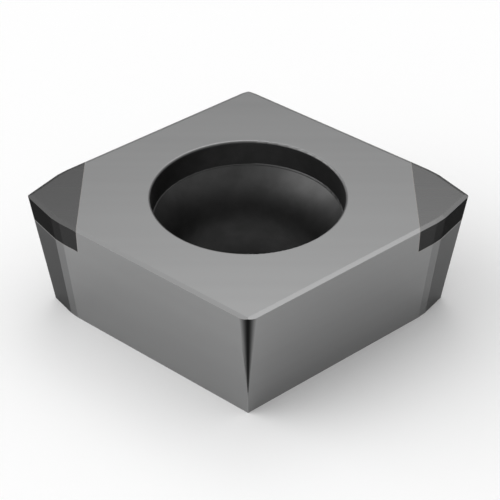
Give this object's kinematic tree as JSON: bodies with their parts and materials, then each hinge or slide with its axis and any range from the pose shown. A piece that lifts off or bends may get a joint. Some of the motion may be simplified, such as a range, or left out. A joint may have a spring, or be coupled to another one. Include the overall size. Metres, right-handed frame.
{
  "type": "turning insert",
  "caption": "Rhombic carbide turning insert with superhard tips brazed into its acute corners, clearance on every flank, and a hole for a countersunk screw.",
  "frame": {"origin": "centre of the flat seating face, on the axis of the screw hole", "axes": "+Z along the hole's axis towards the rake face, +X along the long diagonal to the right tip, +Y along the short diagonal"},
  "size_m": [0.0136, 0.0122, 0.004],
  "materials": {
    "cemented_carbide": "fine ground",
    "superhard_tip": "fine ground, dark",
    "braze_filler": "satin"
  },
  "bodies": {
    "root": {"insert_body": "cemented_carbide", "cutting_tip_left": "superhard_tip", "cutting_tip_right": "superhard_tip", "braze_left": "braze_filler", "braze_right": "braze_filler"}
  },
  "joints": []
}
